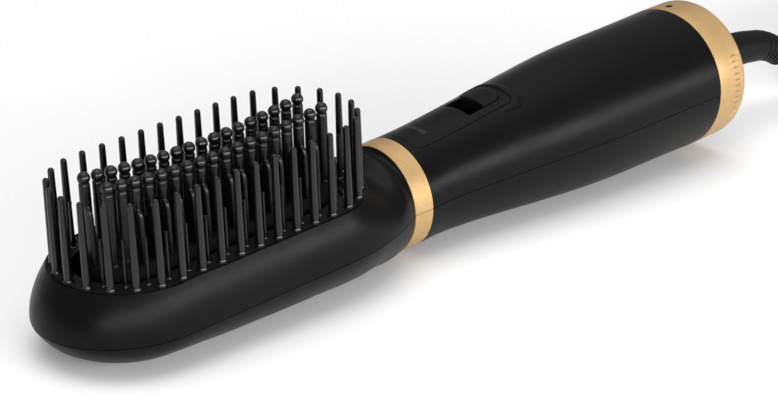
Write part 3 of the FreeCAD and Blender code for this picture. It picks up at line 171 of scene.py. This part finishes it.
M_LEAD = plastic("lead_insulation", (0.030, 0.022, 0.018), (0.042, 0.030, 0.024), 0.5, 0.4)
M_LENS = plastic("lens_white", (0.0080, 0.0080, 0.0084), (0.0110, 0.0110, 0.0115), 0.40, 0.20, 2000.0)
M_MARK = plastic("mark_black", (0.0014, 0.0014, 0.0015), (0.0022, 0.0022, 0.0023), 0.5, 0.05)
M_STEEL = metal("motor_steel", (0.52, 0.52, 0.53), (0.66, 0.66, 0.67), 0.32, (1, 6, 6), 1800.0)
M_SHIELD = metal("shield_steel", (0.55, 0.55, 0.56), (0.70, 0.70, 0.71), 0.28, (8, 1, 1), 1500.0)
M_WIRE = metal("heater_wire", (0.28, 0.24, 0.21), (0.40, 0.35, 0.31), 0.40)
M_FILTER = metal("filter_steel", (0.40, 0.40, 0.41), (0.55, 0.55, 0.56), 0.35)
M_PINMETAL = metal("plug_pin_metal", (0.62, 0.60, 0.56), (0.74, 0.72, 0.68), 0.22, (1, 10, 10), 900.0)


def gold():
    """Satin champagne gold lacquer: very fine metal flakes, each a little brighter or duller than the next."""
    mat, nt, p = material("gold")
    vec = coords(nt)
    flake = nt.nodes.new("ShaderNodeTexVoronoi")
    flake.inputs["Scale"].default_value = 4200.0
    nt.links.new(vec, flake.inputs["Vector"])
    sep = nt.nodes.new("ShaderNodeSeparateColor")
    nt.links.new(flake.outputs["Color"], sep.inputs[0])
    broad = noise(nt, vec, 300.0, 4.0, 0.65)
    p.inputs["Metallic"].default_value = 0.5
    mix = nt.nodes.new("ShaderNodeMath")
    mix.operation = "MULTIPLY_ADD"
    nt.links.new(sep.outputs[0], mix.inputs[0])
    mix.inputs[1].default_value = 0.5
    nt.links.new(broad, mix.inputs[2])
    nt.links.new(tint(nt, mix.outputs[0], (0.385, 0.242, 0.097), (0.470, 0.306, 0.136), 0.35, 1.05), p.inputs["Base Color"])
    nt.links.new(spread(nt, sep.outputs[1], 0.44, 0.56, 0.0, 1.0), p.inputs["Roughness"])
    bump(nt, p, sep.outputs[2], 0.3, 0.00002)
    return mat


M_GOLD = gold()

PAINT = {
    M_BODY: ["head_upper_shell", "head_lower_shell", "handle_upper_shell", "handle_lower_shell"],
    M_PANEL: ["switch_panel", "switch_slider"],
    M_PIN: ["long_bristles", "short_bristles", "ball_bristles", "comb_fins"],
    M_FIELD: ["bristle_frame", "center_plate"],
    M_GOLD: ["neck_ring_upper", "neck_ring_lower", "rear_ring"],
    M_LENS: ["indicator_lens", "indicator_led"],
    M_INNER: ["neck_sleeve", "fan_impeller", "fan_housing", "cord_anchor", "slide_switch", "switch_lever"],
    M_GRILLE: ["inlet_grille"],
    M_FILTER: ["filter_mesh"],
    M_MICA: ["heater_frame"],
    M_WIRE: ["heater_coil"],
    M_SHIELD: ["heater_shield", "thermostat", "thermal_fuse"],
    M_BOARD: ["control_board"],
    M_STEEL: ["motor_can", "motor_shaft", "handle_screws", "head_screws"],
    M_LEAD: ["lead_wires"],
    M_RUBBER: ["strain_relief", "power_cord", "cord_hank", "cord_tail", "cord_ties"],
    M_PLUG: ["plug_body"],
    M_PINMETAL: ["plug_pins"],
}
for mat, names in PAINT.items():
    for nm in names:
        o = NODES[nm]
        o.data.materials.clear()
        o.data.materials.append(mat)

# ----------------------------------------------------------- pieces in mesh


def piece(name, verts, faces, mat, body, sharp=35.0):
    me = bpy.data.meshes.new(name)
    me.from_pydata([tuple(v) for v in verts], [], faces)
    bm = bmesh.new()
    bm.from_mesh(me)
    bmesh.ops.recalc_face_normals(bm, faces=bm.faces)
    bm.to_mesh(me)
    bm.free()
    for f in me.polygons:
        f.use_smooth = True
    me.set_sharp_from_angle(angle=math.radians(sharp))
    me.materials.append(mat)
    o = bpy.data.objects.new(name, me)
    scene.collection.objects.link(o)
    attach(o, body)
    return o


def turn(profile, angles, cut=None):
    """Ring turned about the handle's axis from a closed (x, r) outline; `cut` takes metal off per place."""
    verts, faces = [], []
    m = len(profile)
    for a in angles:
        ca, sa = math.cos(math.radians(a)), math.sin(math.radians(a))
        for j, (x, r) in enumerate(profile):
            q = r - (cut(j, a) if cut else 0.0)
            verts.append(lie(x, -q * ca, q * sa))
    k = len(angles)
    for i in range(k):
        for j in range(m):
            n = (j + 1) % m
            faces.append((i * m + j, i * m + n, ((i + 1) % k) * m + n, ((i + 1) % k) * m + j))
    return verts, faces


# ring of the filter cap: twelve fine grip marks cut into it on either side
MARKS = [27.5 - 5.0 * k for k in range(12)]
MARKS += [180.0 - t for t in MARKS]
around = {round(-90.0 + 2.5 * k, 3) for k in range(144)}
for t in MARKS:
    around |= {round(t + d, 3) for d in (-0.85, -0.6, -0.3, 0.3, 0.6, 0.85)}
around = sorted(around)
RING = [(188.0, 19.7), (188.0, 20.7), (194.85, 20.7), (194.85, 23.28), (194.93, 23.43), (195.10, 23.5), (199.0, 23.5), (202.6, 23.49),
        (202.85, 23.49), (203.1, 23.49), (205.3, 23.48), (205.55, 23.48), (205.8, 23.47), (206.7, 23.44), (207.2, 23.36), (207.6, 23.20),
        (207.95, 22.92), (208.2, 22.55), (208.3, 22.15), (208.3, 21.5), (196.15, 21.5), (196.15, 19.7)]
ALONG = {8: 0.6, 9: 1.0, 10: 1.0, 11: 0.6}


def mark_cut(j, a):
    if j not in ALONG:
        return 0.0
    d = min(abs(a - t) for t in MARKS)
    return 0.34 * ALONG[j] * max(0.0, min(1.0, (0.85 - d) / 0.55))


v_, f_ = turn(RING, around, mark_cut)
ring = piece("cap_ring", v_, f_, M_GOLD, "filter_cap")
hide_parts("rear_ring")

# dot on the ring that lines up with the dash on the shell
v_ = [lie(199.2, -23.54 * math.cos(math.radians(96.35)), 23.54 * math.sin(math.radians(96.35)))]
f_ = []
for k, (rho, r) in enumerate(((0.6, 23.54), (1.1, 23.53), (1.2, 23.515), (1.24, 23.44))):
    for i in range(32):
        t = 2 * math.pi * i / 32
        a = math.radians(96.35) + rho * math.sin(t) / 23.5
        v_.append(lie(199.2 + rho * math.cos(t), -r * math.cos(a), r * math.sin(a)))
        if k == 0:
            f_.append((0, 1 + i, 1 + (i + 1) % 32))
        else:
            b0 = 1 + (k - 1) * 32
            f_.append((b0 + i, b0 + 32 + i, b0 + 32 + (i + 1) % 32, b0 + (i + 1) % 32))
v_.append(lie(199.2, -23.40 * math.cos(math.radians(96.35)), 23.40 * math.sin(math.radians(96.35))))
f_ += [(len(v_) - 1, 1 + 96 + (i + 1) % 32, 1 + 96 + i) for i in range(32)]
piece("cap_dot", v_, f_, M_MARK, "filter_cap", 50.0)

# strain relief: tapered boot, ring grooves towards its free end
BOOT_Z = -0.2


def boot_at(q):
    """Axis point, turn and radius of the boot at distance q from its inner end."""
    if q <= 33.9:
        x = 192.1 + q
        return x, BOOT_Z, 0.0, 6.5 if x <= 208.3 else 6.5 - 0.5 * (x - 208.3) / 17.7
    x, z, a, left = 226.0, BOOT_Z, 0.0, q - 33.9
    done = 0.0
    for rad, deg, share in ((85.0, 12.0, 0.4), (35.0, 26.0, 0.6)):
        arc = rad * math.radians(deg)
        t = min(left, arc)
        e = a + t / rad
        x += rad * (math.sin(e) - math.sin(a))
        z -= rad * (math.cos(a) - math.cos(e))
        a = e
        done += share * t / arc
        left -= t
        if left <= 1e-9:
            break
    return x, z, a, 6.0 - 1.3 * done


BOOT_LEN = 33.9 + 85.0 * math.radians(12.0) + 35.0 * math.radians(26.0)
GROOVES = [BOOT_LEN - 2.4 - 2.7 * k for k in range(5)]
walk = [0.0, 0.3, 4.0, 8.0, 12.0, 15.5, 16.2, 17.0] + [17.0 + 1.4 * k for k in range(1, 21)]
walk = [q for q in walk if q < GROOVES[-1] - 1.4]
q = GROOVES[-1] - 1.2
while q < BOOT_LEN - 0.45:
    walk.append(q)
    q += 0.18
walk += [BOOT_LEN - 0.4, BOOT_LEN - 0.25, BOOT_LEN - 0.1, BOOT_LEN]
v_, f_ = [], []
SIDES = 56
for q in walk:
    x, z, a, r = boot_at(q)
    d = min(abs(q - g) for g in GROOVES)
    r -= 0.6 * max(0.0, min(1.0, (0.62 - d) / 0.28))
    if q > BOOT_LEN - 0.4:
        r -= 0.4 - math.sqrt(max(0.0, 0.16 - (q - BOOT_LEN + 0.4) ** 2))
    if q == 0.0:
        r -= 0.3
    for i in range(SIDES):
        t = 2 * math.pi * i / SIDES
        v_.append(lie(x + r * math.sin(t) * math.sin(a), r * math.cos(t), z + r * math.sin(t) * math.cos(a)))
for k in range(len(walk) - 1):
    for i in range(SIDES):
        n = (i + 1) % SIDES
        f_.append((k * SIDES + i, k * SIDES + n, (k + 1) * SIDES + n, (k + 1) * SIDES + i))
f_.append(tuple(range(SIDES)))
f_.append(tuple((len(walk) - 1) * SIDES + i for i in range(SIDES)))
boot = piece("cord_boot", v_, f_, M_RUBBER, "brush", 40.0)
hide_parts("strain_relief")

# filter: woven wire between two flat rims
v_, f_ = [], []


def add(vs, fs):
    n = len(v_)
    v_.extend(vs)
    f_.extend(tuple(n + i for i in f) for f in fs)


full = [360.0 * k / 96 for k in range(96)]
add(*turn([(197.7, 20.5), (197.7, 21.4), (198.3, 21.4), (198.3, 20.5)], full))
add(*turn([(197.7, 7.3), (197.7, 8.2), (198.3, 8.2), (198.3, 7.3)], full))
PITCH, WIRE, WAVE = 1.5, 0.15, 0.15


def strand(k, flip, lo, hi):
    """One wire at k pitches from the middle, from lo to hi, over and under the crossing ones."""
    steps = max(2, int((hi - lo) / 0.5))
    n = len(v_)
    for i in range(steps + 1):
        t = lo + (hi - lo) * i / steps
        dx = WAVE * math.cos(math.pi * (t / PITCH + k)) * (-1 if flip else 1)
        for c in range(5):
            g = 2 * math.pi * c / 5
            w, e = k * PITCH + WIRE * math.cos(g), WIRE * math.sin(g)
            v_.append(lie(198.0 + dx + e, *((w, t) if flip else (t, w))))
    for i in range(steps):
        for c in range(5):
            d = (c + 1) % 5
            f_.append((n + i * 5 + c, n + i * 5 + d, n + (i + 1) * 5 + d, n + (i + 1) * 5 + c))
    f_.append(tuple(n + c for c in range(5)))
    f_.append(tuple(n + steps * 5 + c for c in range(5)))


for k in range(-13, 14):
    w = k * PITCH
    far = math.sqrt(20.8 ** 2 - w * w)
    near = math.sqrt(max(0.0, 7.7 ** 2 - w * w))
    for flip in (False, True):
        if near > 0:
            strand(k, flip, near, far)
            strand(k, flip, -far, -near)
        else:
            strand(k, flip, -far, far)
weave = piece("filter_weave", v_, f_, M_FILTER, "filter_cap", 60.0)
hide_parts("filter_mesh")

# rounded foot of every pin
def oblong(half, rad, count, step):
    """Place at `step` of `count` even steps along an oblong line, from the middle of its front end."""
    q = math.pi * rad / 2
    d = step * (4 * half + 2 * math.pi * rad) / count
    if d < q:
        return -half - rad * math.cos(d / rad), -rad * math.sin(d / rad)
    if d < q + 2 * half:
        return -half + d - q, -rad
    a = (d - q - 2 * half) / rad
    return half + rad * math.sin(a), -rad * math.cos(a)


FEET = []
for i in range(19):
    x, y = oblong(28.27, 20.0, 36, i)
    FEET += [(x, y, 1.32, 0.28)] + ([(x, -y, 1.32, 0.28)] if 0 < i < 18 else [])
for i in range(18):
    g = (i + 0.5) / 18
    x, y = oblong(28.27, 20.0, 36, i + 0.5 + 0.14 * min(1.0, g / 0.26, (1 - g) / 0.26))
    cx = max(-28.27, min(28.27, x))
    x, y = cx + (x - cx) * 0.865, y * 0.865
    FEET += [(x, y, 0.77, 0.19), (x, -y, 0.77, 0.19)]
v_, f_ = [], []
for x, y, big, small in FEET:
    n = len(v_)
    for i in range(28):
        a = 2 * math.pi * i / 28
        for j in range(10):
            b = 2 * math.pi * j / 10
            w = big + small * math.cos(b)
            v_.append(lie(x + w * math.cos(a), y + w * math.sin(a), 13.2 + 0.10 + small * math.sin(b)))
    for i in range(28):
        for j in range(10):
            i2, j2 = (i + 1) % 28, (j + 1) % 10
            f_.append((n + i * 10 + j, n + i2 * 10 + j, n + i2 * 10 + j2, n + i * 10 + j2))
piece("pin_feet", v_, f_, M_FOOT, "brush", 80.0)

# low ridge moulded into the shell round the rear end of the switch panel
top = NODES["handle_upper_shell"]
SHELL = BVHTree.FromPolygons([top.matrix_world @ w.co for w in top.data.vertices], [tuple(f.vertices) for f in top.data.polygons])
UPV = (LIE.to_3x3() @ Vector((0.0, 0.0, 1.0))).normalized()


def on_shell(x, y, lift):
    hit, nrm, _, _ = SHELL.ray_cast(lie(x, y, 60.0), -UPV)
    if nrm.dot(UPV) < 0:
        nrm = -nrm
    return hit + nrm * (lift * MM)


def ease(t):
    t = max(0.0, min(1.0, t))
    return t * t * (3 - 2 * t)


rows = []
for i in range(73):
    g = -36 + i
    side = -1 if g < 0 else 1
    g = abs(g)
    # 0..12 along the rear edge, 12..24 round the corner, 24..36 along the side
    if g <= 12:
        px, py, nx, ny, wide, tall = 112.5, 5.5 * g / 12, 1.0, 0.0, 3.5, 1.0
    elif g <= 24:
        t = math.radians(90.0 * (g - 12) / 12)
        px, py, nx, ny = 110.3 + 2.2 * math.cos(t), 5.5 + 2.2 * math.sin(t), math.cos(t), math.sin(t)
        wide = 3.5 + 1.0 * math.sin(2 * t) - 0.4 * ease((g - 12) / 12)
        tall = 1.0 - 0.35 * ease((g - 12) / 12)
    else:
        t = (g - 24) / 12
        px, py, nx, ny, wide, tall = 110.3 - 8.0 * t, 7.7, 0.0, 1.0, 3.1 - 1.6 * t, 0.65 * (1 - ease(t))
    line = []
    for j in range(13):
        t = j / 12
        d = 0.5 + (wide - 0.5) * t
        h = 0.38 * tall * ease(t / 0.15) * (1 - ease((t - 0.5) / 0.5)) - 0.03
        line.append(on_shell(px + nx * d, side * (py + ny * d), h))
    rows.append(line)
v_ = [w for line in rows for w in line]
f_ = [(i * 13 + j, i * 13 + j + 1, (i + 1) * 13 + j + 1, (i + 1) * 13 + j) for i in range(72) for j in range(12)]
n0 = len(v_)
for line in rows:
    v_ += [w - UPV * (0.25 * MM) for w in line]
f_ += [(n0 + i * 13 + j, n0 + (i + 1) * 13 + j, n0 + (i + 1) * 13 + j + 1, n0 + i * 13 + j + 1) for i in range(72) for j in range(12)]
for i in range(72):
    f_.append((i * 13, (i + 1) * 13, n0 + (i + 1) * 13, n0 + i * 13))
    f_.append((i * 13 + 12, n0 + i * 13 + 12, n0 + (i + 1) * 13 + 12, (i + 1) * 13 + 12))
for j in range(12):
    f_.append((j, n0 + j, n0 + j + 1, j + 1))
    f_.append((72 * 13 + j, 72 * 13 + j + 1, n0 + 72 * 13 + j + 1, n0 + 72 * 13 + j))
piece("panel_ridge", v_, f_, M_BODY, "brush", 60.0)

# ---------------------------------------------------------------------- cord
CORD_D = 6.0 * MM
XL, RUN, RO, RI = 242.0, 124.0, 24.1, 18.0
XR = XL + RUN
Z1, Z2, Z3 = 3.65, 9.75, 15.85
ROUTE = [(181.68, 0.0, 20.49), (189.11, 0.0, 15.41), (199.50, -0.10, 9.40), (210.20, -3.40, 5.00), (219.30, -9.90, 3.75),
         (224.95, -17.40, 3.65), (231.10, -21.75, 3.65)]
TAIL = [(374.0, -23.6, 15.2), (386.0, -20.2, 12.9), (397.0, -13.8, 10.9), (408.0, -9.8, 10.05)]
SHRINK = 0.75 + 0.25 * math.cos(math.radians(15))


def near_run(r, z, first=0):
    return [(XL + RUN * f / 5.0, -r, z) for f in range(first, 6)]


def right_fold(r, z):
    return [(XR + r / SHRINK * math.cos(math.radians(g)), r / SHRINK * math.sin(math.radians(g)), z) for g in range(-75, 76, 15)]


def far_run(r0, r1, z0, z1, quarter):
    """Run back to the left; the turn moves to its next place within one quarter of it."""
    out = []
    for i in range(17):
        t = min(1.0, max(0.0, i / 4.0 - quarter))
        t = t * t * (3 - 2 * t)
        out.append((XR - RUN * i / 16.0, r0 + (r1 - r0) * t, z0 + (z1 - z0) * t))
    return out


def left_fold(r, z):
    return [(XL + r / SHRINK * math.cos(math.radians(g)), r / SHRINK * math.sin(math.radians(g)), z) for g in range(105, 256, 15)]


HANK = [(238.2, -24.0, Z1)]
HANK += near_run(RO, Z1, 1) + right_fold(RO, Z1) + far_run(RO, RI, Z1, Z1, 3) + left_fold(RI, Z1)
HANK += near_run(RI, Z1) + right_fold(RI, Z1) + far_run(RI, RI, Z1, Z2, 2) + left_fold(RI, Z2)
HANK += near_run(RI, Z2) + right_fold(RI, Z2) + far_run(RI, RO, Z2, Z2, 1) + left_fold(RO, Z2)
HANK += near_run(RO, Z2) + right_fold(RO, Z2) + far_run(RO, RO, Z2, Z3, 0) + left_fold(RO, Z3)
HANK += near_run(RO, Z3)
curve = bpy.data.curves.new("mains_cord", "CURVE")
curve.dimensions = "3D"
sp = curve.splines.new("NURBS")
pts = ROUTE + HANK + TAIL
sp.points.add(len(pts) - 1)
for q, p3 in zip(sp.points, pts):
    q.co = (p3[0] * MM, p3[1] * MM, p3[2] * MM, 1.0)
sp.order_u = 3
sp.use_endpoint_u = True
sp.resolution_u = 6
curve.bevel_depth = CORD_D / 2
curve.bevel_resolution = 6
curve.use_fill_caps = True
curve.materials.append(M_RUBBER)
cord = bpy.data.objects.new("mains_cord", curve)
scene.collection.objects.link(cord)
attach(cord, "brush")
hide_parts("power_cord", "cord_hank", "cord_tail")

# --------------------------------------------------------------- floor, light
fm, nt, p = material("floor")
vec = coords(nt)
f1 = noise(nt, vec, 9.0, 3.0, 0.5)
nt.links.new(tint(nt, f1, (0.93, 0.93, 0.93), (0.95, 0.95, 0.95)), p.inputs["Base Color"])
p.inputs["Roughness"].default_value = 0.7
p.inputs["Specular IOR Level"].default_value = 0.1
bpy.ops.mesh.primitive_plane_add(size=12.0, location=(0, 0, -0.0002))
floor = bpy.context.object
floor.name = "floor"
floor.data.materials.append(fm)

world = bpy.data.worlds.new("world")
scene.world = world
world.use_nodes = True
bg = world.node_tree.nodes.get("Background") or world.node_tree.nodes.new("ShaderNodeBackground")
wt = world.node_tree
sky = wt.nodes.new("ShaderNodeTexCoord")
axes = wt.nodes.new("ShaderNodeSeparateXYZ")
dome = wt.nodes.new("ShaderNodeValToRGB")
wt.links.new(sky.outputs["Generated"], axes.inputs[0])
wt.links.new(axes.outputs["Z"], dome.inputs[0])
DOME = [(0.0, 0.16), (0.12, 0.18), (0.37, 0.26), (0.76, 0.58), (1.0, 1.0)]
while len(dome.color_ramp.elements) < len(DOME):
    dome.color_ramp.elements.new(0.5)
for el, (pos, val) in zip(dome.color_ramp.elements, DOME):
    el.position = pos
    el.color = (val, val, val, 1)
# pale backdrop behind the table, low down
back = wt.nodes.new("ShaderNodeMapRange")
for k, val in (("From Min", -0.1), ("From Max", 0.55), ("To Min", 0.0), ("To Max", 1.0)):
    back.inputs[k].default_value = val
wt.links.new(axes.outputs["Y"], back.inputs["Value"])
low = wt.nodes.new("ShaderNodeMapRange")
for k, val in (("From Min", 0.10), ("From Max", 0.34), ("To Min", 0.34), ("To Max", 0.0)):
    low.inputs[k].default_value = val
wt.links.new(axes.outputs["Z"], low.inputs["Value"])
drop = wt.nodes.new("ShaderNodeMath")
drop.operation = "MULTIPLY_ADD"
wt.links.new(back.outputs[0], drop.inputs[0])
wt.links.new(low.outputs[0], drop.inputs[1])
wt.links.new(dome.outputs[0], drop.inputs[2])
wt.links.new(drop.outputs[0], bg.inputs[0])
bg.inputs[1].default_value = 1.0


def area(name, loc, target, size, power, color=(1, 1, 1)):
    d = bpy.data.lights.new(name, "AREA")
    d.shape = "RECTANGLE"
    d.size, d.size_y = size
    d.energy = power
    d.color = color
    o = bpy.data.objects.new(name, d)
    scene.collection.objects.link(o)
    o.location = loc
    o.rotation_euler = (Vector(target) - Vector(loc)).to_track_quat("-Z", "Y").to_euler()
    return o


area("strip", (0.30, -1.15, 0.29), (0.30, 0.0, 0.03), (2.1, 0.32), 20.0)
area("strip_left", (-0.98, -0.79, 0.29), (-0.08, 0.0, 0.03), (0.8, 0.32), 6.4)
area("top", (0.0, 0.05, 1.15), (0.0, 0.05, 0.0), (1.3, 1.1), 6.4)

scene.cycles.caustics_reflective = False
scene.view_settings.view_transform = "Standard"
scene.view_settings.look = "None"
scene.view_settings.exposure = 0.0
scene.view_settings.gamma = 1.0
